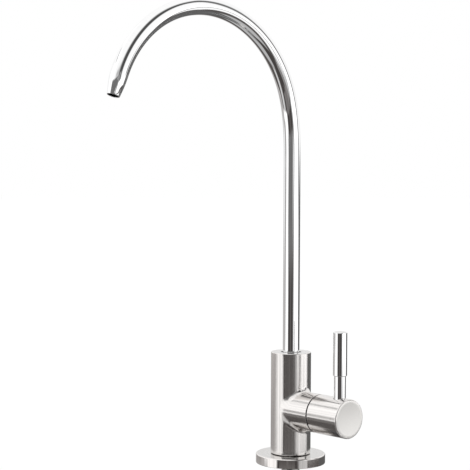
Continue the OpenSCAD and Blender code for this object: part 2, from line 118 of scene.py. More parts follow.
class Axis(Enum):
    """The axis of the frame that a piece is turned about."""

    X = "X"
    Z = "Z"

    def place(self, radius: Measure, along: Measure, angle: Measure) -> np.ndarray:
        """Gives points in the frame from cylinder measures about this axis.

        Args:
            radius: Distance of each point from the axis.
            along: Place of each point along the axis.
            angle: Angle of each point, from +X about Z, or from +Z about X.

        Returns:
            An array with one more dimension, of x, y and z.
        """
        radius, along, angle = np.broadcast_arrays(radius, along, angle)
        out, side = radius * np.cos(angle), radius * np.sin(angle)
        if self is Axis.X:
            return np.stack([along, side, out], axis=-1)
        return np.stack([out, side, along], axis=-1)


class Marks(Enum):
    """Where a finish takes the direction of its tool marks from."""

    GRAIN = "the piece's grain map"
    OBJECT = "the piece's own coordinates"


class CardShape(Enum):
    """The outline of a card in the studio."""

    BOX = "straight sides"
    OVAL = "rounded all the way round"


def rounded(corners: Sequence[Corner], closed: bool = False, steps: int = 6) -> Outline:
    """Rounds the corners of an outline.

    Args:
        corners: Radius and height at each corner, and an edge radius where it is rounded.
        closed: Whether the last corner leads back to the first.
        steps: Steps in each round.

    Returns:
        The outline's points. A closed one ends on its first point.
    """
    points: Outline = []
    count = len(corners)
    for index, (radius, height, *rest) in enumerate(corners):
        if not rest:
            points.append((radius, height))
            continue
        edge = rest[0]
        here = Vector((radius, height))
        before = (Vector(corners[index - 1][:2]) - here).normalized()
        after = (Vector(corners[(index + 1) % count][:2]) - here).normalized()
        half = before.angle(after) / 2
        middle = here + (before + after).normalized() * edge / math.sin(half)
        start = here + before * edge / math.tan(half) - middle
        end = here + after * edge / math.tan(half) - middle
        first = math.atan2(start.y, start.x)
        sweep = math.remainder(math.atan2(end.y, end.x) - first, math.tau)
        for step in range(steps + 1):
            angle = first + sweep * step / steps
            points.append((middle.x + edge * math.cos(angle), middle.y + edge * math.sin(angle)))
    if closed:
        points.append(points[0])
    return points


def soft_edge(radius: float, end: float, edge: float, facing: int = 1) -> Outline:
    """Gives the round from a turned piece's side to its end, which faces along the axis (1) or back (-1)."""
    run = 2 * edge
    return rounded([(radius, end - facing * run), (radius, end, edge), (radius - run, end)])[1:-1]


def divided(outline: Outline, longest: float) -> Outline:
    """Divides the long stretches of an outline.

    Args:
        outline: The points.
        longest: Longest stretch to leave.

    Returns:
        The outline with points added on its straight stretches.
    """
    points = [outline[0]]
    for start, end in zip(outline, outline[1:]):
        parts = max(1, math.ceil(math.dist(start, end) / longest))
        for part in range(1, parts + 1):
            points.append(tuple(here + (there - here) * part / parts for here, there in zip(start, end)))
    return points


def lengths(points: np.ndarray) -> np.ndarray:
    """Gives the length along a line of points at each point, from 0."""
    return np.concatenate([[0.0], np.cumsum(np.linalg.norm(np.diff(points, axis=0), axis=1))])


def node(tree: Tree, kind: str, inputs: dict[str | int, object] | None = None, **settings: object) -> Node:
    """Adds a node to a tree.

    Args:
        tree: The tree.
        kind: The node's type.
        inputs: Sockets to link from or values to set, by input name or number.
        settings: Properties of the node.

    Returns:
        The node.
    """
    made = tree.nodes.new(kind)
    for name, value in settings.items():
        setattr(made, name, value)
    for key, value in (inputs or {}).items():
        if isinstance(value, bpy.types.NodeSocket):
            tree.links.new(value, made.inputs[key])
        else:
            made.inputs[key].default_value = value
    return made


def maths(tree: Tree, operation: str, *values: Socket | float) -> Socket:
    """Adds a Math node and gives its output."""
    return node(tree, "ShaderNodeMath", dict(enumerate(values)), operation=operation).outputs[0]


def spread(tree: Tree, value: Socket, low: float, high: float, smooth: bool = False) -> Socket:
    """Stretches the range from low to high to the range from 0 to 1, clamped.

    Args:
        tree: The tree.
        value: The value.
        low: Value that gives 0.
        high: Value that gives 1.
        smooth: Whether to ease in and out.

    Returns:
        The stretched value.
    """
    way = "SMOOTHSTEP" if smooth else "LINEAR"
    inputs = {"Value": value, "From Min": low, "From Max": high}
    return node(tree, "ShaderNodeMapRange", inputs, interpolation_type=way).outputs["Result"]


def between(tree: Tree, share: Socket, low: float, high: float) -> Socket:
    """Gives a value from low to high, by a share from 0 to 1."""
    inputs = {"Value": share, "To Min": low, "To Max": high}
    return node(tree, "ShaderNodeMapRange", inputs).outputs["Result"]


def blended(tree: Tree, share: Socket | float, first: object, second: object) -> Socket:
    """Mixes two colours, given as sockets or as red, green, blue and alpha."""
    # Inputs 6 and 7 and output 2 of a Mix node are its colours
    return node(tree, "ShaderNodeMix", {0: share, 6: first, 7: second}, data_type="RGBA").outputs[2]


def opaque(colour: Colour) -> tuple[float, float, float, float]:
    """Gives a colour with an alpha of 1."""
    return (*colour, 1.0)


def grey(level: float) -> Colour:
    """Gives a colour without a tint."""
    return (level, level, level)


def noise(tree: Tree, vector: Socket, scale: Socket | float, detail: float, warp: float = 0.0) -> Socket:
    """Adds a noise texture and gives its value."""
    inputs = {"Vector": vector, "Scale": scale, "Detail": detail, "Distortion": warp}
    return node(tree, "ShaderNodeTexNoise", inputs).outputs[0]


def new_group(name: str, inputs: dict[str, float | None], outputs: Sequence[str]) -> tuple[Tree, Node, Node]:
    """Starts a shader node group.

    Args:
        name: The group's name.
        inputs: Each input's name with its starting value, or with None for a vector.
        outputs: The names of its value outputs.

    Returns:
        The group, its input node and its output node.
    """
    group = bpy.data.node_groups.new(name, "ShaderNodeTree")
    for label, start in inputs.items():
        kind = "NodeSocketVector" if start is None else "NodeSocketFloat"
        socket = group.interface.new_socket(name=label, in_out="INPUT", socket_type=kind)
        if start is not None:
            socket.default_value = start
    for label in outputs:
        group.interface.new_socket(name=label, in_out="OUTPUT", socket_type="NodeSocketFloat")
    return group, group.nodes.new("NodeGroupInput"), group.nodes.new("NodeGroupOutput")


def grouped(tree: Tree, group: Tree, inputs: dict[str | int, object]) -> Node:
    """Places a group in a tree with its own values."""
    return node(tree, "ShaderNodeGroup", inputs, node_tree=group)


class Effects:
    """The shader node groups that more than one finish uses, each built when first asked for."""

    # Scales of the finer and the broader noise, against the scale that a group is given
    speck_scale = 4.5
    cloud_scale = 0.12

    @staticmethod
    @cache
    def tool_marks() -> Tree:
        """Builds fine lines left by turning or brushing, as a mask and a height.

        Returns:
            The group.
        """
        inputs = {"Vector": None, "Pitch": 4000.0, "Stretch": 0.02}
        tree, given, result = new_group("tool_marks", inputs, ["Mask", "Height"])
        parts = node(tree, "ShaderNodeSeparateXYZ", {0: given.outputs["Vector"]}).outputs
        fast = given.outputs["Pitch"]
        slow = maths(tree, "MULTIPLY", fast, given.outputs["Stretch"])
        scaled = [maths(tree, "MULTIPLY", part, rate) for part, rate in zip(parts, (fast, slow, slow))]
        place = node(tree, "ShaderNodeCombineXYZ", dict(enumerate(scaled))).outputs[0]
        coarse = noise(tree, place, scale=0.3, detail=2.0)
        fine = noise(tree, place, scale=1.0, detail=3.0)
        mask = spread(tree, maths(tree, "ADD", coarse, fine), low=0.7, high=1.3)
        tree.links.new(mask, result.inputs["Mask"])
        tree.links.new(fine, result.inputs["Height"])
        return tree

    @staticmethod
    @cache
    def handling() -> Tree:
        """Builds faint smears and dried water left by hands, as a mask.

        Returns:
            The group.
        """
        tree, given, result = new_group("handling", {"Vector": None, "Scale": 60.0}, ["Mask"])
        vector, scale = given.outputs["Vector"], given.outputs["Scale"]
        smear = noise(tree, vector, scale, detail=4.0, warp=1.2)
        finer = maths(tree, "MULTIPLY", scale, Effects.speck_scale)
        speck = noise(tree, vector, finer, detail=2.0)
        cloud = spread(tree, smear, low=0.45, high=0.7, smooth=True)
        spots = spread(tree, speck, low=0.5, high=0.75, smooth=True)
        both = maths(tree, "MULTIPLY", cloud, between(tree, spots, low=0.55, high=1.0))
        tree.links.new(both, result.inputs["Mask"])
        return tree

    @staticmethod
    @cache
    def moulded_skin() -> Tree:
        """Builds the slight mottle and fine grain of moulded plastic or rubber, as a mask and a height.

        Returns:
            The group.
        """
        tree, given, result = new_group("moulded_skin", {"Vector": None, "Scale": 900.0}, ["Mask", "Height"])
        vector, scale = given.outputs["Vector"], given.outputs["Scale"]
        broader = maths(tree, "MULTIPLY", scale, Effects.cloud_scale)
        cloud = noise(tree, vector, broader, detail=3.0)
        tree.links.new(spread(tree, cloud, low=0.3, high=0.7), result.inputs["Mask"])
        tree.links.new(noise(tree, vector, scale, detail=2.0), result.inputs["Height"])
        return tree


def new_material(name: str) -> tuple[bpy.types.Material, Tree, Node]:
    """Starts a material.

    Args:
        name: The material's name.

    Returns:
        The material, its tree and its Principled shader.
    """
    material = bpy.data.materials.new(name)
    material.use_nodes = True
    tree = material.node_tree
    return material, tree, tree.nodes["Principled BSDF"]


def raise_marks(tree: Tree, shader: Node, height: Socket, depth: float) -> None:
    """Raises a shader's surface by a height from 0 to 1, with the depth in metres."""
    bump = node(tree, "ShaderNodeBump", {"Height": height, "Distance": depth, "Strength": 1.0})
    tree.links.new(bump.outputs[0], shader.inputs["Normal"])


@dataclass(frozen=True)
class MetalFinish:
    """A bare or plated metal with the marks of the tool that finished it.

    The streak is the share of the tone that comes from marks drawn the other way.
    """

    name: str
    colour: Colour
    mark_colour: Colour
    roughness: tuple[float, float]
    mark_pitch: float
    mark_stretch: float
    mark_depth: float
    smear: float = 0.04
    anisotropy: float = 0.0
    streak: float = 0.0
    streak_pitch: float = 1400.0
    streak_stretch: float = 0.006
    marks: Marks = Marks.GRAIN

    def material(self) -> bpy.types.Material:
        """Gives the finish's material, which is made the first time.

        Returns:
            The material.
        """
        if self.name in bpy.data.materials:
            return bpy.data.materials[self.name]
        material, tree, shader = new_material(self.name)
        shader.inputs["Metallic"].default_value = 1.0
        shader.inputs["Anisotropic"].default_value = self.anisotropy
        own = node(tree, "ShaderNodeTexCoord").outputs["Object"]
        place = own
        if self.marks is Marks.GRAIN:
            place = node(tree, "ShaderNodeUVMap", uv_map=GRAIN_MAP).outputs[0]
        settings = {"Vector": place, "Pitch": self.mark_pitch, "Stretch": self.mark_stretch}
        lines = grouped(tree, Effects.tool_marks(), settings)
        hands = grouped(tree, Effects.handling(), {"Vector": own})
        tone = lines.outputs["Mask"]
        if self.streak:
            parts = node(tree, "ShaderNodeSeparateXYZ", {0: place}).outputs
            turned = node(tree, "ShaderNodeCombineXYZ", {0: parts["Y"], 1: parts["X"]}).outputs[0]
            settings = {"Vector": turned, "Pitch": self.streak_pitch, "Stretch": self.streak_stretch}
            drawn = grouped(tree, Effects.tool_marks(), settings).outputs["Mask"]
            # Inputs 2 and 3 of a Mix node are its plain values
            tone = node(tree, "ShaderNodeMix", {0: self.streak, 2: tone, 3: drawn}).outputs[0]
        colour = blended(tree, tone, opaque(self.colour), opaque(self.mark_colour))
        tree.links.new(colour, shader.inputs["Base Color"])
        smears = maths(tree, "MULTIPLY", hands.outputs["Mask"], self.smear)
        rough = maths(tree, "ADD", between(tree, tone, *self.roughness), smears)
        tree.links.new(rough, shader.inputs["Roughness"])
        raise_marks(tree, shader, lines.outputs["Height"], self.mark_depth)
        if self.anisotropy:
            tangent = node(tree, "ShaderNodeTangent", direction_type="UV_MAP", uv_map=GRAIN_MAP)
            tree.links.new(tangent.outputs[0], shader.inputs["Tangent"])
        return material


@dataclass(frozen=True)
class MouldedFinish:
    """Moulded plastic, rubber or ceramic, with a slight mottle and a fine skin."""

    name: str
    colour: Colour
    mottle_colour: Colour
    roughness: tuple[float, float]
    grain_scale: float
    grain_depth: float
    specular: float = 0.5

    def material(self) -> bpy.types.Material:
        """Gives the finish's material, which is made the first time.

        Returns:
            The material.
        """
        if self.name in bpy.data.materials:
            return bpy.data.materials[self.name]
        material, tree, shader = new_material(self.name)
        shader.inputs["Specular IOR Level"].default_value = self.specular
        own = node(tree, "ShaderNodeTexCoord").outputs["Object"]
        skin = grouped(tree, Effects.moulded_skin(), {"Vector": own, "Scale": self.grain_scale})
        mask = skin.outputs["Mask"]
        colour = blended(tree, mask, opaque(self.colour), opaque(self.mottle_colour))
        tree.links.new(colour, shader.inputs["Base Color"])
        tree.links.new(between(tree, mask, *self.roughness), shader.inputs["Roughness"])
        raise_marks(tree, shader, skin.outputs["Height"], self.grain_depth)
        return material


Finish = MetalFinish | MouldedFinish

SATIN_STEEL = MetalFinish(
    "brushed_body_steel", colour=(0.935, 0.906, 0.886), mark_colour=(0.705, 0.683, 0.668),
    roughness=(0.145, 0.165), mark_pitch=9000.0, mark_stretch=0.006, mark_depth=0.05 * MICRON,
    smear=0.015, anisotropy=0.81, streak=1.0,
)
TURNED_RIM_STEEL = MetalFinish(
    "turned_rim_steel", colour=(0.90, 0.87, 0.85), mark_colour=(0.76, 0.735, 0.72),
    roughness=(0.055, 0.08), mark_pitch=9000.0, mark_stretch=0.006, mark_depth=0.05 * MICRON,
    smear=0.015, anisotropy=0.4, streak=1.0,
)
POLISHED_STEEL = MetalFinish(
    "mirror_tube_steel", colour=grey(0.965), mark_colour=(0.92, 0.92, 0.925),
    roughness=(0.03, 0.055), mark_pitch=4000.0, mark_stretch=0.02, mark_depth=0.08 * MICRON,
)
SATIN_FACE_STEEL = MetalFinish(
    "satin_face_steel", colour=(0.80, 0.785, 0.765), mark_colour=(0.74, 0.725, 0.705),
    roughness=(0.12, 0.15), mark_pitch=9000.0, mark_stretch=0.004, mark_depth=0.1 * MICRON, smear=0.02,
)
FACED_STEEL = MetalFinish(
    "faced_steel", colour=(0.72, 0.706, 0.692), mark_colour=(0.53, 0.518, 0.506),
    roughness=(0.07, 0.12), mark_pitch=6000.0, mark_stretch=0.004, mark_depth=0.6 * MICRON,
)
# Near-black steel for bores, the seam between boss and cap and the gap under the body's foot: the colour is
# painted shade for the light that doesn't get into them, where the real steel is as bright as the rest.
SHADE_PAINTED_STEEL = MetalFinish(
    "bore_steel", colour=(0.030, 0.029, 0.028), mark_colour=grey(0.016),
    roughness=(0.55, 0.70), mark_pitch=2500.0, mark_stretch=0.05, mark_depth=4 * MICRON,
)
PLAIN_SATIN_STEEL = MetalFinish(
    "plain_satin_steel", colour=(0.72, 0.70, 0.68), mark_colour=(0.62, 0.60, 0.58),
    roughness=(0.24, 0.34), mark_pitch=3000.0, mark_stretch=0.6, mark_depth=2 * MICRON, marks=Marks.OBJECT,
)
PLATED_STEEL = MetalFinish(
    "plated_steel", colour=(0.80, 0.80, 0.81), mark_colour=(0.70, 0.70, 0.72),
    roughness=(0.16, 0.28), mark_pitch=2500.0, mark_stretch=0.7, mark_depth=2 * MICRON, marks=Marks.OBJECT,
)
TURNED_BRASS = MetalFinish(
    "turned_brass", colour=(0.78, 0.60, 0.30), mark_colour=(0.66, 0.48, 0.22),
    roughness=(0.20, 0.32), mark_pitch=2500.0, mark_stretch=0.6, mark_depth=3 * MICRON,
    smear=0.10, marks=Marks.OBJECT,
)
CERAMIC = MouldedFinish(
    "lapped_ceramic", colour=(0.88, 0.86, 0.80), mottle_colour=(0.84, 0.82, 0.76),
    roughness=(0.18, 0.26), grain_scale=2500.0, grain_depth=1 * MICRON,
)
RUBBER = MouldedFinish(
    "black_rubber", colour=(0.030, 0.030, 0.032), mottle_colour=(0.045, 0.045, 0.047),
    roughness=(0.62, 0.78), grain_scale=1400.0, grain_depth=20 * MICRON, specular=0.35,
)
DARK_PLASTIC = MouldedFinish(
    "moulded_dark_plastic", colour=(0.022, 0.022, 0.024), mottle_colour=(0.032, 0.032, 0.034),
    roughness=(0.62, 0.72), grain_scale=1800.0, grain_depth=10 * MICRON, specular=0.12,
)
WHITE_PLASTIC = MouldedFinish(
    "moulded_white_plastic", colour=(0.80, 0.80, 0.78), mottle_colour=(0.76, 0.76, 0.73),
    roughness=(0.30, 0.40), grain_scale=1200.0, grain_depth=10 * MICRON,
)
GREY_PLASTIC = MouldedFinish(
    "moulded_grey_plastic", colour=(0.27, 0.285, 0.31), mottle_colour=(0.24, 0.255, 0.28),
    roughness=(0.36, 0.48), grain_scale=1400.0, grain_depth=10 * MICRON,
)
# Finish of each CAD solid that stays, by the record's material slot
SLOT_FINISHES: dict[str, Finish] = {
    "satin_steel": PLAIN_SATIN_STEEL,
    "polished_steel": PLATED_STEEL,
    "brass": TURNED_BRASS,
    "ceramic": CERAMIC,
    "rubber": RUBBER,
    "dark_plastic": DARK_PLASTIC,
    "white_plastic": WHITE_PLASTIC,
    "grey_plastic": GREY_PLASTIC,
}


@dataclass
class Shell:
    """Collects patches of a piece's surface, and joins them into one mesh.

    Each patch carries a grain map, which runs across the tool marks first and along them second.
    """

    name: str
    finish: Finish
    points: list[np.ndarray] = field(default_factory=list)
    grain: list[np.ndarray] = field(default_factory=list)
    faces: list[list[int]] = field(default_factory=list)
    finishes: list[Finish] = field(default_factory=list)
    count: int = 0

    def patch(
        self, points: np.ndarray, across: Measure = 0.0, along: Measure = 0.0, finish: Finish | None = None
    ) -> None:
        """Adds a grid of points as four-sided faces.

        Args:
            points: Array of rows, columns and x, y, z.
            across: The grain's measure across the tool marks, for one, some or all rows and columns.
            along: Its measure along them, likewise.
            finish: The patch's finish, or None for the piece's main one.
        """
        rows, columns = points.shape[:2]
        index = self.count + np.arange(rows * columns).reshape(rows, columns)
        quads = np.stack([index[:-1, :-1], index[:-1, 1:], index[1:, 1:], index[1:, :-1]], axis=-1)
        self.faces += quads.reshape(-1, 4).tolist()
        self.finishes += [finish or self.finish] * ((rows - 1) * (columns - 1))
        self.points.append(points.reshape(-1, 3))
        grain = [np.broadcast_to(measure, (rows, columns)).ravel() for measure in (across, along)]
        self.grain.append(np.stack(grain, axis=-1))
        self.count += rows * columns

    def polygon(self, points: np.ndarray) -> None:
        """Adds one face with the main finish, and with its grain left at zero.

        Args:
            points: The face's corners in order.
        """
        self.faces.append(list(range(self.count, self.count + len(points))))
        self.finishes.append(self.finish)
        self.points.append(points)
        self.grain.append(np.zeros((len(points), 2)))
        self.count += len(points)

    def turn(
        self, outline: Outline, axis: Axis = Axis.Z, centre: Sequence[float] = (0.0, 0.0, 0.0),
        angles: np.ndarray | None = None, finish: Finish | None = None, steps: int = 128,
    ) -> None:
        """Turns an outline about an axis.

        Args:
            outline: Radius and place along the axis of each point.
            axis: The axis.
            centre: A point that the axis passes through.
            angles: The angles to place points at, or None for a full turn in even steps.
            finish: The surface's finish, or None for the piece's main one.
            steps: Steps in a full turn.
        """
        if angles is None:
            angles = np.linspace(0.0, math.tau, steps + 1)
        shape = np.array(outline)
        points = axis.place(shape[:, :1], shape[:, 1:], angles[None, :]) + np.array(centre)
        self.patch(points, lengths(shape)[:, None], angles[None, :] * shape[:, 0].max(), finish)

    def fit(self, stands_for: str, body: str, crease: float = 40.0) -> None:
        """Joins the patches into one smooth piece, and puts it in the place of a CAD solid.

        Args:
            stands_for: The CAD node that the piece replaces.
            body: The body that it moves with.
            crease: Angle in degrees above which an edge is drawn sharp.
        """
        mesh = bpy.data.meshes.new(self.name)
        mesh.from_pydata(np.concatenate(self.points).tolist(), [], self.faces)
        numbers = {finish: number for number, finish in enumerate(dict.fromkeys(self.finishes))}
        mesh.polygons.foreach_set("material_index", [numbers[finish] for finish in self.finishes])
        for finish in numbers:
            mesh.materials.append(finish.material())
        corners = np.array([corner for face in self.faces for corner in face])
        layer = mesh.uv_layers.new(name=GRAIN_MAP)
        layer.data.foreach_set("uv", np.concatenate(self.grain)[corners].ravel())
        work = bmesh.new()
        work.from_mesh(mesh)
        bmesh.ops.remove_doubles(work, verts=work.verts, dist=WELD)
        bmesh.ops.dissolve_degenerate(work, edges=work.edges, dist=WELD)
        bmesh.ops.recalc_face_normals(work, faces=work.faces)
        work.to_mesh(mesh)
        work.free()
        shade(mesh, crease)
        piece = bpy.data.objects.new(self.name, mesh)
        bpy.context.scene.collection.objects.link(piece)
        piece.modifiers.new("flat faces stay flat", "WEIGHTED_NORMAL").keep_sharp = True
        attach(piece, body)
        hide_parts(stands_for)
        LOG.info("%s built: %d faces", self.name, len(mesh.polygons))


def shade(mesh: bpy.types.Mesh, crease: float) -> None:
    """Shades a mesh smooth, with edges sharper than the crease angle in degrees left sharp."""
    mesh.polygons.foreach_set("use_smooth", [True] * len(mesh.polygons))
    mesh.set_sharp_from_angle(angle=math.radians(crease))


@dataclass(frozen=True)
class PiercedSkin:
    """The skin of a cylinder with one hole, as spokes from the hole to the skin's edges."""

    radius: float
    low: float
    high: float
    hole_at: float
    spokes_per_end: int = 96
    spokes_per_side: int = 40
    rings: int = 24
    crowding: float = 1.35

    def border(self) -> np.ndarray:
        """Gives the outer ends of the spokes, which lie on the skin's edges.

        Returns:
            Distance round the skin and place along it, for each spoke and the first one again.
        """
        half = math.pi * self.radius
        side = np.linspace(self.low, self.high, self.spokes_per_side, endpoint=False)
        end = np.linspace(half, -half, self.spokes_per_end, endpoint=False)
        down = self.high + self.low - side
        edges = [(half, side), (end, self.high), (-half, down), (-end, self.low)]
        points = np.concatenate([np.stack(np.broadcast_arrays(*edge), axis=-1) for edge in edges])
        return np.concatenate([points, points[:1]])

    def directions(self) -> np.ndarray:
        """Gives the direction of each spoke round the hole, in radians."""
        border = self.border()
        return np.arctan2(border[:, 1] - self.hole_at, border[:, 0])

    def end_angles(self) -> np.ndarray:
        """Gives the angles of the points on either end of the skin."""
        return np.linspace(math.pi, -math.pi, self.spokes_per_end + 1)

    def add_to(self, shell: Shell, axis: Axis, centre: Sequence[float], hole: np.ndarray) -> None:
        """Adds the skin to a shell.

        Args:
            shell: The shell.
            axis: The cylinder's axis.
            centre: A point that the axis passes through.
            hole: The hole's edge at each spoke, as distance round the skin and place along it.
        """
        share = (np.linspace(0.0, 1.0, self.rings + 1) ** self.crowding)[:, None, None]
        flat = hole[None] * (1 - share) + self.border()[None] * share
        points = axis.place(self.radius, flat[..., 1], flat[..., 0] / self.radius)
        shell.patch(points + np.array(centre), flat[..., 1], flat[..., 0])


@dataclass(frozen=True)
class EdgedRing:
    """A plain ring with rounded edges on the base. Its outside and its height come from its solid."""

    stands_for: str
    name: str
    slot: str
    finish: Finish
    bore: float
    edge: float
    edge_steps: int

    def build(self) -> None:
        """Builds the ring and puts it in the place of its solid."""
        low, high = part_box(self.stands_for)
        corners = [(self.bore, low.z), (high.x, low.z), (high.x, high.z), (self.bore, high.z)]
        shell = Shell(self.name, self.finish)
        shell.turn(rounded([(*corner, self.edge) for corner in corners], closed=True, steps=self.edge_steps))
        shell.fit(self.stands_for, "base")


@dataclass
class TapBody:
    """The turned body with its side boss, run into each other by a soft fillet.

    The fillet widens to side_fillet at the boss's sides, the more abruptly the higher side_power is.
    """

    fillet: float = 3.0 * MM
    side_fillet: float = 16.0 * MM
    side_power: int = 8
    seam_relief: float = 0.25 * MM
    top_edge: float = 0.45 * MM
    foot_edge: float = 0.5 * MM
    foot_gap: float = 0.3 * MM
    foot_inset: float = 0.6 * MM
    boss_edge: float = 0.2 * MM
    mouth_edge: float = 0.25 * MM
    valve_bore: float = 8.5 * MM
    valve_floor: float = 1.5 * MM
    bush_bore: float = 6.6 * MM
    socket_bore: float = 5.46 * MM
    socket_floor: float = 46.0 * MM
    ring_room: float = 0.2 * MM
    shank_bore: float = 6.05 * MM
    shank_socket: float = 12.0 * MM
    fillet_steps: int = 12
    boss_steps: int = 8

    def __post_init__(self) -> None:
        """Takes the main sizes from the frame."""
        low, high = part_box("tap_body")
        cap_low, cap_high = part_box("handle_cap")
        bush_low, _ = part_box("spout_bush")
        self.ring_low, self.ring_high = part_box("spout_snap_ring")
        self.radius = -low.x
        self.foot = low.z
        self.top = high.z
        self.boss_end = high.x - self.seam_relief
        self.boss_radius = (cap_high.y - cap_low.y) / 2
        self.boss_height = (cap_high.z + cap_low.z) / 2
        self.bush_foot = bush_low.z

    def skin(self) -> PiercedSkin:
        """Gives the body's round skin between its edges."""
        low = self.foot + self.foot_gap + self.foot_edge
        return PiercedSkin(self.radius, low, high=self.top - self.top_edge, hole_at=self.boss_height)

    def fillet_sizes(self, turn: np.ndarray) -> np.ndarray:
        """Gives the fillet's radius at each angle round the boss, which is larger at its sides."""
        return self.fillet + (self.side_fillet - self.fillet) * np.cos(turn) ** self.side_power

    def fillet_centres(self, turn: np.ndarray) -> np.ndarray:
        """Gives the centres of the balls that roll between the body and the boss.

        Args:
            turn: The angles round the boss.

        Returns:
            The centre at each angle, as x, y and z.
        """
        sizes = self.fillet_sizes(turn)
        reach = self.boss_radius + sizes
        side = reach * np.cos(turn)
        out = np.sqrt((self.radius + sizes) ** 2 - side**2)
        return np.stack([out, side, self.boss_height + reach * np.sin(turn)], axis=-1)

    def add_boss(self, shell: Shell, turn: np.ndarray) -> None:
        """Adds the fillet, the boss and the valve's bore.

        Args:
            shell: The body's shell.
            turn: The angle of each spoke round the boss.
        """
        centres = self.fillet_centres(turn)
        sizes = self.fillet_sizes(turn)[:, None]
        flat = np.zeros_like(turn)
        to_body = -np.stack([centres[:, 0], centres[:, 1], flat], axis=-1) / (self.radius + sizes)
        to_boss = -np.stack([flat, np.cos(turn), np.sin(turn)], axis=-1)
        angle = np.arccos(np.clip((to_body * to_boss).sum(axis=1), -1.0, 1.0))[None, :, None]
        share = np.linspace(0.0, 1.0, self.fillet_steps + 1)[:, None, None]
        arc = np.sin((1 - share) * angle) * to_body + np.sin(share * angle) * to_boss
        points = centres[None] + sizes[None] * arc / np.sin(angle)
        along = turn[None] * self.boss_radius
        shell.patch(points, share[..., 0] * (angle * sizes[None])[..., 0], along)
        start = centres[None, :, 0]
        end = self.boss_end - self.boss_edge
        share = np.linspace(0.0, 1.0, self.boss_steps + 1)[:, None]
        out = start * (1 - share) + end * share
        centre = np.array([0.0, 0.0, self.boss_height])
        # The boss's angle is counted from +Y, and the turned pieces about X count from +Z
        about_x = math.pi / 2 - turn
        shell.patch(Axis.X.place(self.boss_radius, out, about_x[None]) + centre, out, along)
        turned = partial(shell.turn, axis=Axis.X, centre=centre, angles=about_x)
        rim = soft_edge(self.boss_radius, self.boss_end, self.boss_edge)
        turned(rim)
        # The boss's end face in the seam and the valve's bore are painted near-black: painted shade for the
        # shadow inside them.
        bore = [
            rim[-1],
            (self.valve_bore, self.boss_end),
            (self.valve_bore, self.valve_floor),
            (0.0, self.valve_floor),
        ]
        turned(bore, finish=SHADE_PAINTED_STEEL)

    def build(self) -> None:
        """Builds the body and puts it in the place of its solid."""
        shell = Shell("tap_body_shell", SATIN_STEEL)
        skin = self.skin()
        turn = skin.directions()
        centres = self.fillet_centres(turn)
        hole_round = self.radius * np.arctan2(centres[:, 1], centres[:, 0])
        skin.add_to(shell, Axis.Z, (0.0, 0.0, 0.0), np.stack([hole_round, centres[:, 2]], axis=-1))
        self.add_boss(shell, turn)
        turned = partial(shell.turn, angles=skin.end_angles())
        rim = soft_edge(self.radius, self.top, self.top_edge)
        turned(rim)
        groove = self.ring_high.y + self.ring_room
        groove_top = self.ring_high.z + self.ring_room
        groove_floor = self.ring_low.z - self.ring_room
        top = rounded([
            rim[-1],
            (self.bush_bore, self.top, self.mouth_edge),
            (self.bush_bore, self.bush_foot),
            (self.socket_bore, self.bush_foot),
            (self.socket_bore, groove_top),
            (groove, groove_top),
            (groove, groove_floor),
            (self.socket_bore, groove_floor),
            (self.socket_bore, self.socket_floor),
            (0.0, self.socket_floor),
        ])
        turned(top, finish=FACED_STEEL)
        gap_top = self.foot + self.foot_gap
        inset = self.radius - self.foot_inset
        rim = soft_edge(self.radius, gap_top, self.foot_edge, facing=-1)
        turned(rim)
        # The gap under the foot, the underside and the shank's socket are painted near-black: painted shade
        # for the shadow under the body.
        foot = [
            rim[-1],
            (inset, gap_top),
            (inset, self.foot),
            (self.shank_bore, self.foot),
            (self.shank_bore, self.foot + self.shank_socket),
            (0.0, self.foot + self.shank_socket),
        ]
        turned(foot, finish=SHADE_PAINTED_STEEL)
        shell.fit("tap_body", "base")


@dataclass
class BaseFlange:
    """The foot disc, with a turned side, a faced top and a groove for its gasket."""

    top_edge: float = 0.7 * MM
    low_edge: float = 0.25 * MM
    edge_steps: int = 8
    bore: float = 6.3 * MM
    groove_gap: float = 0.05 * MM
    groove_width: float = 6.1 * MM
    top_spacing: float = 2.0 * MM
    steps: int = 192

    def build(self) -> None:
        """Builds the flange and puts it in the place of its solid."""
        low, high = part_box("base_flange")
        _, gasket_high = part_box("base_gasket")
        radius = high.x
        groove_out = gasket_high.x + self.groove_gap
        groove_in = groove_out - self.groove_width
        bore_middle = (self.bore, high.z / 2)
        shell = Shell("base_flange_disc", TURNED_RIM_STEEL)
        side = rounded([
            bore_middle,
            (self.bore, low.z),
            (groove_in, low.z),
            (groove_in, gasket_high.z),
            (groove_out, gasket_high.z),
            (groove_out, low.z),
            (radius, low.z, self.low_edge),
            (radius, high.z, self.top_edge),
            (self.bore, high.z),
        ], steps=self.edge_steps)
        shell.turn(side[:-1], steps=self.steps)
        top = [(radius - self.top_edge, high.z), (self.bore, high.z), bore_middle]
        shell.turn(divided(top, self.top_spacing), finish=FACED_STEEL, steps=self.steps)
        shell.fit("base_flange", "base")


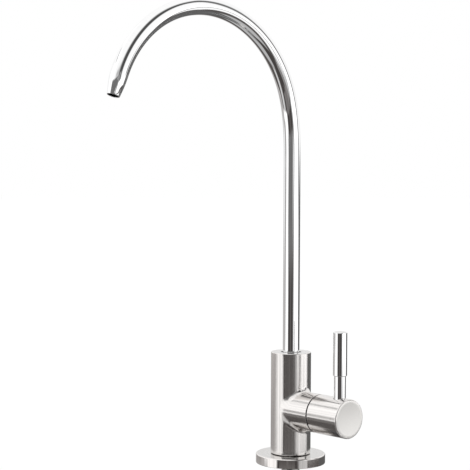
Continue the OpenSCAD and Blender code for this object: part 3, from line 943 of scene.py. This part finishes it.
@dataclass
class Spout:
    """The swivelling tube, bent over and swaged to its nozzle, and the bush it turns in.

    The bend starts gently, as a drawn tube does, and reaches its steady radius after bend_ease.
    """

    wall: float = 1.0 * MM
    bend_radius: float = 70.6 * MM
    bend_ease: float = 52.0 * MM
    bend_sweep: float = math.radians(162.0)
    bend_points: int = 2001
    nozzle_length: float = 9.05 * MM
    mouth_radius: float = 3.8 * MM
    mouth_wall: float = 0.55 * MM
    lip: float = 0.2 * MM
    swage_round: float = 55.0 * MM
    foot_edge: float = 0.2 * MM
    ring_spacing: float = 1.8 * MM
    steps: int = 96
    bush_gap: float = 0.05 * MM
    bush_edge: float = 0.2 * MM
    bush_edge_steps: int = 3

    def __post_init__(self) -> None:
        """Takes the main sizes from the frame, and lays out the bend's centre line."""
        low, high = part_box("spout_tube")
        self.radius = high.y
        self.foot = low.z
        ease_turn = self.bend_ease / (2 * self.bend_radius)
        self.bend_length = self.bend_ease + self.bend_radius * (self.bend_sweep - ease_turn)
        self.along = np.linspace(0.0, self.bend_length, self.bend_points)
        easing = self.along**2 / (2 * self.bend_ease * self.bend_radius)
        steady = ease_turn + (self.along - self.bend_ease) / self.bend_radius
        self.turn = np.where(self.along < self.bend_ease, easing, steady)
        step = self.bend_length / (self.bend_points - 1)
        middle = (self.turn[1:] + self.turn[:-1]) / 2
        self.reach = np.concatenate([[0.0], np.cumsum(np.sin(middle)) * step])
        self.height = np.concatenate([[0.0], np.cumsum(np.cos(middle)) * step])
        self.rise = high.z - self.radius - self.height.max() - self.foot

    def ring_at(self, radius: float, along: float, angles: np.ndarray) -> np.ndarray:
        """Gives one ring of the tube.

        Args:
            radius: The ring's radius.
            along: Length along the tube's centre line from its foot.
            angles: The angles of the ring's points.

        Returns:
            The ring's points.
        """
        bent = along - self.rise
        turn = np.interp(bent, self.along, self.turn)
        reach = np.interp(bent, self.along, self.reach)
        height = self.foot + min(along, self.rise) + np.interp(bent, self.along, self.height)
        inward = np.array([0.0, -math.cos(turn), -math.sin(turn)])
        forward = np.array([0.0, -math.sin(turn), math.cos(turn)])
        middle = np.array([0.0, -reach, height]) + forward * max(bent - self.bend_length, 0.0)
        side = np.array([1.0, 0.0, 0.0])
        return middle + radius * (np.cos(angles)[:, None] * side + np.sin(angles)[:, None] * inward)

    def sweep(self, shell: Shell, outline: Outline, finish: Finish) -> None:
        """Sweeps a wall outline along the tube.

        Args:
            shell: The tube's shell.
            outline: Radius and length along the tube of each ring.
            finish: The wall's finish.
        """
        angles = np.linspace(0.0, math.tau, self.steps + 1)
        rings = divided(outline, self.ring_spacing)
        points = np.stack([self.ring_at(radius, along, angles) for radius, along in rings])
        shell.patch(points, np.array(rings)[:, 1:], angles[None] * self.radius, finish)

    def build(self) -> None:
        """Builds the tube and the bush and puts them in the place of their solids."""
        end = self.rise + self.bend_length
        mouth = end + self.nozzle_length
        mouth_bore = self.mouth_radius - self.mouth_wall
        bore = self.radius - self.wall
        shell = Shell("spout_tube_bent", POLISHED_STEEL)
        outside = rounded([
            (bore, self.foot_edge),
            (bore, 0.0, self.foot_edge),
            (self.radius, 0.0, self.foot_edge),
            (self.radius, end, self.swage_round),
            (self.mouth_radius, mouth, self.lip),
            (mouth_bore, mouth, self.lip),
            (mouth_bore, mouth - 2 * self.lip),
        ])
        # The tube's bore is painted near-black: painted shade for the dark inside the tube.
        inside = [outside[-1], (bore, end), outside[0]]
        self.sweep(shell, outside, POLISHED_STEEL)
        self.sweep(shell, inside, SHADE_PAINTED_STEEL)
        shell.fit("spout_tube", "spout")
        EdgedRing(
            "spout_bush", "spout_bush_ring", "dark_plastic", DARK_PLASTIC,
            bore=self.radius + self.bush_gap, edge=self.bush_edge, edge_steps=self.bush_edge_steps,
        ).build()


@dataclass
class Handle:
    """The turning cap on the end of the boss, and the lever that stands in it."""

    cap_edge: float = 0.8 * MM
    dish: float = 0.10 * MM
    rim_edge: float = 0.2 * MM
    hollow: float = 10.89 * MM
    hollow_depth: float = 9.35 * MM
    seat_depth: float = 1.8 * MM
    seat_gap: float = 0.3 * MM
    seat_edge: float = 0.25 * MM
    neck: float = 3.7 * MM
    stud: float = 2.5 * MM
    stud_gap: float = 0.05 * MM
    stud_floor: float = 0.01 * MM
    web: float = 0.03 * MM
    drive_room: float = 0.2 * MM
    step_height: float = 26.0 * MM
    step_bevel: float = 0.35 * MM
    step_edge: float = 0.12 * MM
    lever_edge: float = 0.5 * MM
    edge_steps: int = 5
    cap_spokes: int = 32
    face_spacing: float = 1.5 * MM
    lever_spacing: float = 4.0 * MM
    lever_steps: int = 96

    def __post_init__(self) -> None:
        """Takes the main sizes from the frame."""
        self.low, self.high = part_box("handle_cap")
        self.lever_low, self.lever_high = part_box("handle_lever")
        _, self.stem_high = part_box("cartridge_stem")
        self.radius = (self.high.y - self.low.y) / 2
        self.height = (self.high.z + self.low.z) / 2
        self.lever_at = (self.lever_low.x + self.lever_high.x) / 2
        self.seat = self.height + self.radius - self.seat_depth

    def add_lever_seat(self, shell: Shell, skin: PiercedSkin) -> None:
        """Adds the cap's skin and the hole that the lever stands in.

        Args:
            shell: The cap's shell.
            skin: The cap's skin.
        """
        turn = skin.directions()
        hole = self.neck + self.seat_gap
        ease = np.linspace(0.0, math.pi / 2, self.edge_steps + 1)
        drilled = [0.0, self.stud + self.stud_gap, self.stud + self.stud_gap, hole]
        wide = np.concatenate([drilled, hole + self.seat_edge * (1 - np.cos(ease))])
        deep = np.concatenate([np.zeros(len(drilled)), self.seat_edge * (1 - np.sin(ease))])
        side = wide[:, None] * np.cos(turn)[None]
        along = self.lever_at + wide[:, None] * np.sin(turn)[None]
        crown = self.height + np.sqrt(self.radius**2 - side**2) - deep[:, None]
        # The first rings are the stud's hole and the seat
        crown[:2] = self.lever_low.z - self.stud_floor
        crown[2:4] = self.seat
        shell.patch(np.stack([along, side, crown], axis=-1), along, side)
        edge = np.stack([self.radius * np.arcsin(side[-1] / self.radius), along[-1]], axis=-1)
        skin.add_to(shell, Axis.X, (0.0, 0.0, self.height), edge)

    def add_drive_bore(self, shell: Shell, angles: np.ndarray) -> None:
        """Adds the flatted bore that the stem turns the cap by, under a thin web below the lever's stud.

        Args:
            shell: The cap's shell.
            angles: The angles of the points round the bore.
        """
        start = self.low.x + self.hollow_depth
        end = self.stem_high.x + self.drive_room
        wide = self.stem_high.y + self.stud_gap
        flat = self.lever_low.z - self.height - self.stud_floor - self.web
        radius = np.array([self.hollow, wide, wide, 0.0])[:, None]
        along = np.array([start, start, end, end])[:, None]
        points = Axis.X.place(radius, along, angles[None])
        points[1:3, :, 2] = np.clip(points[1:3, :, 2], -flat, flat)
        points[..., 2] += self.height
        # The drive bore is painted near-black: painted shade for the dark inside the cap.
        shell.patch(points, finish=SHADE_PAINTED_STEEL)

    def build_cap(self) -> None:
        """Builds the cap and puts it in the place of its solid."""
        shell = Shell("handle_cap_turned", SATIN_STEEL)
        skin = PiercedSkin(
            radius=self.radius,
            low=self.low.x + self.rim_edge,
            high=self.high.x - self.cap_edge,
            hole_at=self.lever_at,
            spokes_per_side=self.cap_spokes,
        )
        self.add_lever_seat(shell, skin)
        centre = (0.0, 0.0, self.height)
        turned = partial(shell.turn, axis=Axis.X, centre=centre, angles=skin.end_angles())
        edge = soft_edge(self.radius, self.high.x, self.cap_edge)
        turned(edge)
        wide = self.radius - self.cap_edge
        flat = divided([edge[-1], (0.0, self.high.x)], self.face_spacing)
        dished = [(radius, along - self.dish * (1 - (radius / wide) ** 2)) for radius, along in flat]
        turned(dished, finish=SATIN_FACE_STEEL)
        rim = soft_edge(self.radius, self.low.x, self.rim_edge, facing=-1)
        turned(rim)
        floor = self.low.x + self.hollow_depth
        # The cap's end in the seam and its hollow are painted near-black: painted shade for the shadow inside
        # them.
        turned([rim[-1], (self.hollow, self.low.x), (self.hollow, floor)], finish=SHADE_PAINTED_STEEL)
        self.add_drive_bore(shell, skin.end_angles())
        shell.fit("handle_cap", "handle")

    def build_lever(self) -> None:
        """Builds the lever and puts it in the place of its solid."""
        grip = (self.lever_high.x - self.lever_low.x) / 2
        step = self.height + self.step_height
        shell = Shell("handle_lever_turned", POLISHED_STEEL)
        outline = rounded([
            (0.0, self.lever_low.z),
            (self.stud, self.lever_low.z),
            (self.stud, self.seat),
            (self.neck, self.seat),
            (self.neck, step, self.step_edge),
            (grip, step + self.step_bevel, self.step_edge),
            (grip, self.lever_high.z, self.lever_edge),
            (0.0, self.lever_high.z),
        ])
        turned = partial(shell.turn, centre=(self.lever_at, 0.0, 0.0), steps=self.lever_steps)
        turned(divided(outline[:-1], self.lever_spacing))
        turned(divided(outline[-2:], self.face_spacing), finish=FACED_STEEL)
        shell.fit("handle_lever", "handle")


@dataclass
class DeckFixing:
    """The threaded shank under the flange, with its washers."""

    bore: float = 3.0 * MM
    thread_pitch: float = 1.0 * MM
    thread_depth: float = 0.55 * MM
    thread_top: float = -1.5 * MM
    crest: tuple[float, float] = (0.4, 0.6)
    steps: int = 72
    shoulder_edge: float = 0.2 * MM
    top_edge: float = 0.4 * MM
    bore_lap: float = 0.1 * MM
    neck_steps: int = 3
    crease: float = 50.0
    washer_bore: float = 6.3 * MM
    washer_steps: int = 5
    rubber_edge: float = 0.5 * MM
    steel_edge: float = 0.3 * MM

    def thread(self, shell: Shell, root: float, low: float, turns: int) -> tuple[np.ndarray, np.ndarray]:
        """Adds a rolled thread as one helix that runs out at both ends.

        Args:
            shell: The shank's shell.
            root: Radius at the foot of the thread.
            low: Height where it starts.
            turns: How many turns it makes.

        Returns:
            The points of its first and last turn, where the plain ends join it.
        """
        count = np.arange(turns * self.steps + 1)
        angle = math.tau * count / self.steps
        fade = np.minimum(np.minimum(count, count[::-1]) / self.steps, 1.0)
        depth = self.thread_depth * fade
        across = np.array([0.0, *self.crest, 1.0])
        crest = np.array([0.0, 1.0, 1.0, 0.0])
        radius = root + depth[:, None] * crest[None]
        height = low + self.thread_pitch * (count[:, None] / self.steps + across[None])
        points = Axis.Z.place(radius, height, angle[:, None])
        shell.patch(points, across[None] * self.thread_pitch, radius * angle[:, None])
        return points[: self.steps + 1], points[-self.steps - 1:]

    def build_shank(self) -> None:
        """Builds the shank and puts it in the place of its solid."""
        low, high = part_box("threaded_shank")
        radius = high.x
        root = radius - self.thread_depth
        start = low.z + self.thread_pitch / 2
        turns = int((self.thread_top - start) / self.thread_pitch)
        shell = Shell("threaded_shank_rolled", PLAIN_SATIN_STEEL)
        first, last = self.thread(shell, root, start, turns)
        angles = math.tau * np.arange(self.steps + 1) / self.steps
        foot_ring = Axis.Z.place(root, low.z, angles)
        top_height = self.thread_top + self.thread_pitch / 4
        top_ring = Axis.Z.place(root, top_height, angles)
        below = np.stack([foot_ring, first[:, 0]])[:, :-1]
        above = np.stack([last[:, -1], top_ring])[:, 1:]
        shell.patch(below)
        shell.patch(above)
        # The faces where each plain end meets the step at the start and end of the helix
        shell.polygon(np.concatenate([foot_ring[-2:], first[0], first[-2:-1, 0]]))
        shell.polygon(np.concatenate([last[1:2, -1], top_ring[1:2], top_ring[:1], last[-1][::-1]]))
        bore_top = (self.bore, high.z - self.bore_lap)
        shell.turn([(root, low.z), (self.bore, low.z), bore_top], steps=self.steps)
        neck = rounded([
            (root, top_height),
            (radius, top_height + self.thread_depth, self.shoulder_edge),
            (radius, high.z, self.top_edge),
            (self.bore, high.z),
            bore_top,
        ], steps=self.neck_steps)
        shell.turn(neck, steps=self.steps)
        shell.fit("threaded_shank", "base", self.crease)

    def build(self) -> None:
        """Builds the shank and the two plain washers."""
        self.build_shank()
        for solid, slot, finish, edge in (
            ("rubber_washer", "rubber", RUBBER, self.rubber_edge),
            ("steel_washer", "polished_steel", PLATED_STEEL, self.steel_edge),
        ):
            name = f"{solid}_round"
            EdgedRing(solid, name, slot, finish, self.washer_bore, edge, self.washer_steps).build()


@dataclass
class CarriedSolids:
    """The CAD solids whose shape is right, dressed where they stand."""

    edge: float = 0.12 * MM
    edge_steps: int = 2
    crease: float = 30.0

    def build(self, frame: dict) -> None:
        """Dresses each CAD solid that no new piece stands for.

        Args:
            frame: The loaded frame.
        """
        for part in frame["record"]["subparts"]:
            solid = frame["nodes"][part["node"]]
            if solid.hide_render:
                continue
            solid.data.materials.clear()
            solid.data.materials.append(SLOT_FINISHES[part["material_slot"]].material())
            shade(solid.data, self.crease)
            solid.modifiers.new("one skin", "WELD").merge_threshold = WELD
            bevel = solid.modifiers.new("softened edges", "BEVEL")
            bevel.width = self.edge
            bevel.segments = self.edge_steps
            bevel.limit_method = "ANGLE"
            bevel.angle_limit = math.radians(self.crease)
            solid.modifiers.new("flat faces stay flat", "WEIGHTED_NORMAL").keep_sharp = True
            LOG.info("%s dressed", part["node"])


@dataclass(frozen=True)
class PhotoCamera:
    """The camera, at the photograph's viewing angle. Angles are in degrees."""

    azimuth: float = 48.50
    distance: float = 818.55 * MM
    height: float = 176.44 * MM
    sideways: float = -36.69 * MM
    pitch: float = -2.024
    roll: float = 0.24
    lens: float = 97.005
    sensor: float = 36.0
    nearest: float = 0.01
    farthest: float = 100.0

    def to_camera(self) -> Vector:
        """Gives the level direction from the tap to the camera."""
        turn = math.radians(self.azimuth)
        return Vector((math.sin(turn), -math.cos(turn), 0.0))

    def to_right(self) -> Vector:
        """Gives the level direction to the right of the picture."""
        turn = math.radians(self.azimuth)
        return Vector((math.cos(turn), math.sin(turn), 0.0))

    def build(self) -> None:
        """Makes the camera and looks through it."""
        pitch, roll = math.radians(self.pitch), math.radians(self.roll)
        ahead = -self.to_camera()
        view = ahead * math.cos(pitch) + UP * math.sin(pitch)
        level = UP * math.cos(pitch) - ahead * math.sin(pitch)
        right = self.to_right() * math.cos(roll) + level * math.sin(roll)
        top = right.cross(view)
        data = bpy.data.cameras.new("photo_camera")
        data.lens = self.lens
        data.sensor_width = self.sensor
        data.sensor_fit = "HORIZONTAL"
        data.clip_start = self.nearest
        data.clip_end = self.farthest
        camera = bpy.data.objects.new("photo_camera", data)
        place = self.to_camera() * self.distance + self.to_right() * self.sideways + UP * self.height
        camera.matrix_world = Matrix.Translation(place) @ Matrix((right, top, -view)).transposed().to_4x4()
        bpy.context.scene.collection.objects.link(camera)
        bpy.context.scene.camera = camera


@dataclass(frozen=True)
class Card:
    """A dark or bright card in the studio, which shows only in reflections.

    Angles are in degrees: the centre and half width are counted from the camera to the right of the
    picture, low and high are heights above the horizon, and soft is the width of the edge's fade.
    """

    name: str
    centre: float
    half_width: float
    low: float
    high: float
    soft: float
    colour: Colour
    shape: CardShape = CardShape.BOX


# Later cards hang in front of earlier ones
CARDS = (
    Card("top_light", 0.0, 200.0, 48.0, 200.0, 12.0, grey(1.03)),
    Card("dark_table", 0.0, 200.0, -120.0, -9.9, 4.4, (0.094, 0.086, 0.083)),
    Card("floor_ring", 0.0, 200.0, -80.0, -50.9, 8.3, grey(0.484)),
    Card("floor_middle", 0.0, 200.0, -120.0, -79.1, 8.0, grey(0.237)),
    Card("back_wall", 181.5, 69.2, 6.5, 16.7, 6.0, grey(0.945)),
    Card("back_haze", 182.0, 41.5, -14.0, 3.3, 5.9, grey(0.568)),
    Card("left_floor", -73.0, 13.0, -50.0, -14.0, 4.5, grey(0.64)),
    Card("left_box", -77.0, 33.2, -12.5, 33.7, 3.7, grey(1.16)),
    Card("left_box_low", -67.0, 17.0, -14.0, -11.2, 3.0, (1.240, 1.230, 1.220)),
    Card("left_haze", -102.0, 12.5, -7.4, 1.8, 2.4, (0.360, 0.352, 0.348)),
    Card("left_haze_low", -107.5, 8.5, -16.0, -7.0, 3.0, (0.370, 0.358, 0.352)),
    Card("left_box_high", -97.2, 45.8, 33.1, 50.8, 4.0, grey(1.184)),
    Card("left_seam", -108.8, 14.5, 37.3, 41.0, 1.6, grey(0.251)),
    Card("left_table", -142.4, 41.7, -21.5, -2.6, 5.0, (0.502, 0.487, 0.481)),
    Card("left_table_low", -136.0, 21.0, -12.0, -9.4, 2.0, (0.270, 0.260, 0.256)),
    Card("front_haze", -10.0, 12.0, 21.0, 36.0, 14.0, grey(0.5)),
    Card("right_frame", 53.4, 49.2, -2.4, 68.5, 26.0, grey(0.072), CardShape.OVAL),
    Card("right_softbox", 69.9, 28.3, -7.8, 41.5, 11.2, grey(1.047), CardShape.OVAL),
    Card("right_box", 62.9, 33.9, -10.6, 4.9, 1.2, grey(1.38)),
    Card("right_shade", 88.6, 17.4, -11.0, -9.4, 0.6, grey(1.23)),
    Card("right_shade_low", 88.6, 17.4, -11.0, -10.5, 0.5, grey(0.66)),
    Card("right_box_low", 40.2, 15.2, -34.8, -8.2, 2.7, grey(0.595)),
    Card("right_glow", 71.7, 28.0, -31.6, -14.5, 1.9, grey(1.058)),
    Card("right_leg", 94.9, 7.1, -1.2, 53.0, 5.0, grey(0.156)),
    Card("room_in_front", -13.3, 34.4, -120.0, -0.6, 7.4, (0.062, 0.056, 0.054)),
    Card("room_front_high", -22.9, 30.9, -3.2, 21.5, 4.6, grey(0.17)),
    Card("front_right_high", 14.0, 9.5, 3.0, 14.0, 2.5, grey(0.17)),
    Card("front_floor", -13.9, 26.4, -27.6, -12.2, 1.4, (0.195, 0.184, 0.180)),
    Card("front_right_floor", 12.0, 9.5, -42.0, -14.5, 4.0, (0.270, 0.262, 0.258)),
    Card("front_gap", -12.4, 3.1, -31.8, 12.0, 2.9, (0.150, 0.142, 0.139)),
    Card("room_front_right", 26.1, 4.7, -11.8, 22.8, 4.2, grey(0.381)),
    Card("right_back", 137.7, 32.4, -120.0, 1.1, 3.9, grey(0.121)),
)


@dataclass
class Studio:
    """The pale floor, the soft lamps and the white tent with its cards."""

    floor_size: float = 60.0
    floor_colour: Colour = grey(0.5)
    floor_roughness: float = 0.9
    floor_glow: float = 0.50
    tent_level: float = 0.58
    lamp_spread: float = math.radians(24.0)
    # Directions to the lamps: toward the camera, to the right of the picture and up
    key_way: tuple[float, float, float] = (0.7, -1.0, 1.6)
    key_power: float = 1.4
    fill_way: tuple[float, float, float] = (0.4, 1.3, 1.0)
    fill_power: float = 0.5

    def seen(self, tree: Tree) -> Socket:
        """Tells the rays that show a surface, which are camera, glossy and transmission rays.

        Args:
            tree: The tree to add the nodes to.

        Returns:
            A socket that gives 1 for such rays, and else 0.
        """
        path = node(tree, "ShaderNodeLightPath").outputs
        first = maths(tree, "MAXIMUM", path["Is Camera Ray"], path["Is Glossy Ray"])
        return maths(tree, "MAXIMUM", first, path["Is Transmission Ray"])

    def card_group(self, shape: CardShape) -> Tree:
        """Builds the group that gives how far a direction lies on a card.

        Args:
            shape: The outline of the cards that use it.

        Returns:
            The group.
        """
        names = ["Azimuth", "Height", "Centre", "Half Width", "Low", "High", "Soft"]
        tree, given, result = new_group(f"studio_{shape.name.lower()}", dict.fromkeys(names, 0.0), ["Mask"])
        azimuth, height, centre, half, low, high, soft = (given.outputs[name] for name in names)
        combine = partial(maths, tree)
        half_turn = 180.0
        apart = combine("SUBTRACT", azimuth, centre)
        wrapped = combine("ABSOLUTE", combine("WRAP", apart, half_turn, -half_turn))
        if shape is CardShape.OVAL:
            middle = combine("MULTIPLY", combine("ADD", low, high), 0.5)
            half_height = combine("MULTIPLY", combine("SUBTRACT", high, low), 0.5)
            across = combine("DIVIDE", wrapped, half)
            upward = combine("DIVIDE", combine("SUBTRACT", height, middle), half_height)
            squares = combine("ADD", combine("MULTIPLY", across, across), combine("MULTIPLY", upward, upward))
            inside = [combine("MULTIPLY", combine("SUBTRACT", 1.0, combine("SQRT", squares)), half)]
        else:
            sides = ((half, wrapped), (height, low), (high, height))
            inside = [combine("SUBTRACT", more, less) for more, less in sides]
        mask: Socket | float = 1.0
        for margin in inside:
            share = combine("ADD", combine("DIVIDE", margin, soft), 0.5)
            mask = combine("MULTIPLY", mask, spread(tree, share, low=0.0, high=1.0, smooth=True))
        tree.links.new(mask, result.inputs["Mask"])
        return tree

    def build_tent(self, camera: PhotoCamera) -> None:
        """Makes the white surroundings, with the cards that only metal shows.

        Args:
            camera: The camera, from which the cards' angles are counted.
        """
        world = bpy.data.worlds.new("white_tent")
        bpy.context.scene.world = world
        world.use_nodes = True
        tree = world.node_tree
        way = node(tree, "ShaderNodeTexCoord").outputs["Generated"]
        out, side = (
            node(tree, "ShaderNodeVectorMath", {0: way, 1: toward}, operation="DOT_PRODUCT").outputs["Value"]
            for toward in (camera.to_camera(), camera.to_right())
        )
        azimuth = maths(tree, "DEGREES", maths(tree, "ARCTAN2", side, out))
        rise = maths(tree, "ARCSINE", node(tree, "ShaderNodeSeparateXYZ", {0: way}).outputs["Z"])
        height = maths(tree, "DEGREES", rise)
        groups = {shape: self.card_group(shape) for shape in CardShape}
        colour: object = opaque(WHITE)
        for card in CARDS:
            settings = {
                "Azimuth": azimuth, "Height": height, "Centre": card.centre, "Half Width": card.half_width,
                "Low": card.low, "High": card.high, "Soft": card.soft,
            }
            placed = grouped(tree, groups[card.shape], settings)
            placed.label = card.name
            colour = blended(tree, placed.outputs["Mask"], colour, opaque(card.colour))
        glossy = node(tree, "ShaderNodeLightPath").outputs["Is Glossy Ray"]
        shown = blended(tree, glossy, opaque(WHITE), colour)
        strength = between(tree, self.seen(tree), self.tent_level, 1.0)
        background = tree.nodes["Background"]
        tree.links.new(shown, background.inputs["Color"])
        tree.links.new(strength, background.inputs["Strength"])

    def build_floor(self, height: float) -> None:
        """Makes the floor, which glows to white where it is seen and keeps the tap's shadow.

        Args:
            height: The floor's height.
        """
        half = self.floor_size / 2
        mesh = bpy.data.meshes.new("pale_floor")
        corners = [(x * half, y * half, height) for x, y in ((-1, -1), (1, -1), (1, 1), (-1, 1))]
        mesh.from_pydata(corners, [], [(0, 1, 2, 3)])
        floor = bpy.data.objects.new("pale_floor", mesh)
        bpy.context.scene.collection.objects.link(floor)
        # The metal shows the tent and its cards in place of the floor
        floor.visible_glossy = False
        material, tree, shader = new_material("pale_floor")
        shader.inputs["Base Color"].default_value = opaque(self.floor_colour)
        shader.inputs["Roughness"].default_value = self.floor_roughness
        shader.inputs["Specular IOR Level"].default_value = 0.0
        shader.inputs["Emission Color"].default_value = opaque(WHITE)
        glow = maths(tree, "MULTIPLY", self.seen(tree), self.floor_glow)
        tree.links.new(glow, shader.inputs["Emission Strength"])
        mesh.materials.append(material)
        floor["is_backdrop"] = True

    def lamp(self, name: str, toward: Vector, power: float) -> None:
        """Hangs one wide soft lamp far away.

        Args:
            name: Its name.
            toward: The direction from the tap to the lamp.
            power: Its light in watts on a square metre.
        """
        data = bpy.data.lights.new(name, "SUN")
        data.angle = self.lamp_spread
        data.energy = power
        lamp = bpy.data.objects.new(name, data)
        lamp.rotation_euler = (-toward).to_track_quat("-Z", "Y").to_euler()
        # The cards in the tent draw the reflections, and the lamps only light and shade
        lamp.visible_glossy = False
        bpy.context.scene.collection.objects.link(lamp)

    def build(self, camera: PhotoCamera, floor_height: float) -> None:
        """Makes the whole studio.

        Args:
            camera: The camera.
            floor_height: Height of the floor.
        """
        self.build_tent(camera)
        self.build_floor(floor_height)
        ways = (camera.to_camera(), camera.to_right(), UP)
        for name, way, power in (
            ("key_lamp", self.key_way, self.key_power),
            ("fill_lamp", self.fill_way, self.fill_power),
        ):
            toward = sum((axis * share for axis, share in zip(ways, way)), Vector())
            self.lamp(name, toward, power)
        bpy.context.scene.view_settings.view_transform = "Standard"


def main() -> None:
    """Loads the frame, builds the tap's pieces in order and sets up the studio."""
    logging.basicConfig(level=logging.INFO, format="%(name)s: %(message)s")
    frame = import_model()
    cad_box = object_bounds()
    camera = PhotoCamera()
    camera.build()
    TapBody().build()
    BaseFlange().build()
    Spout().build()
    handle = Handle()
    handle.build_cap()
    handle.build_lever()
    DeckFixing().build()
    CarriedSolids().build(frame)
    Studio().build(camera, cad_box[0].z)


if __name__ == "__main__":
    main()
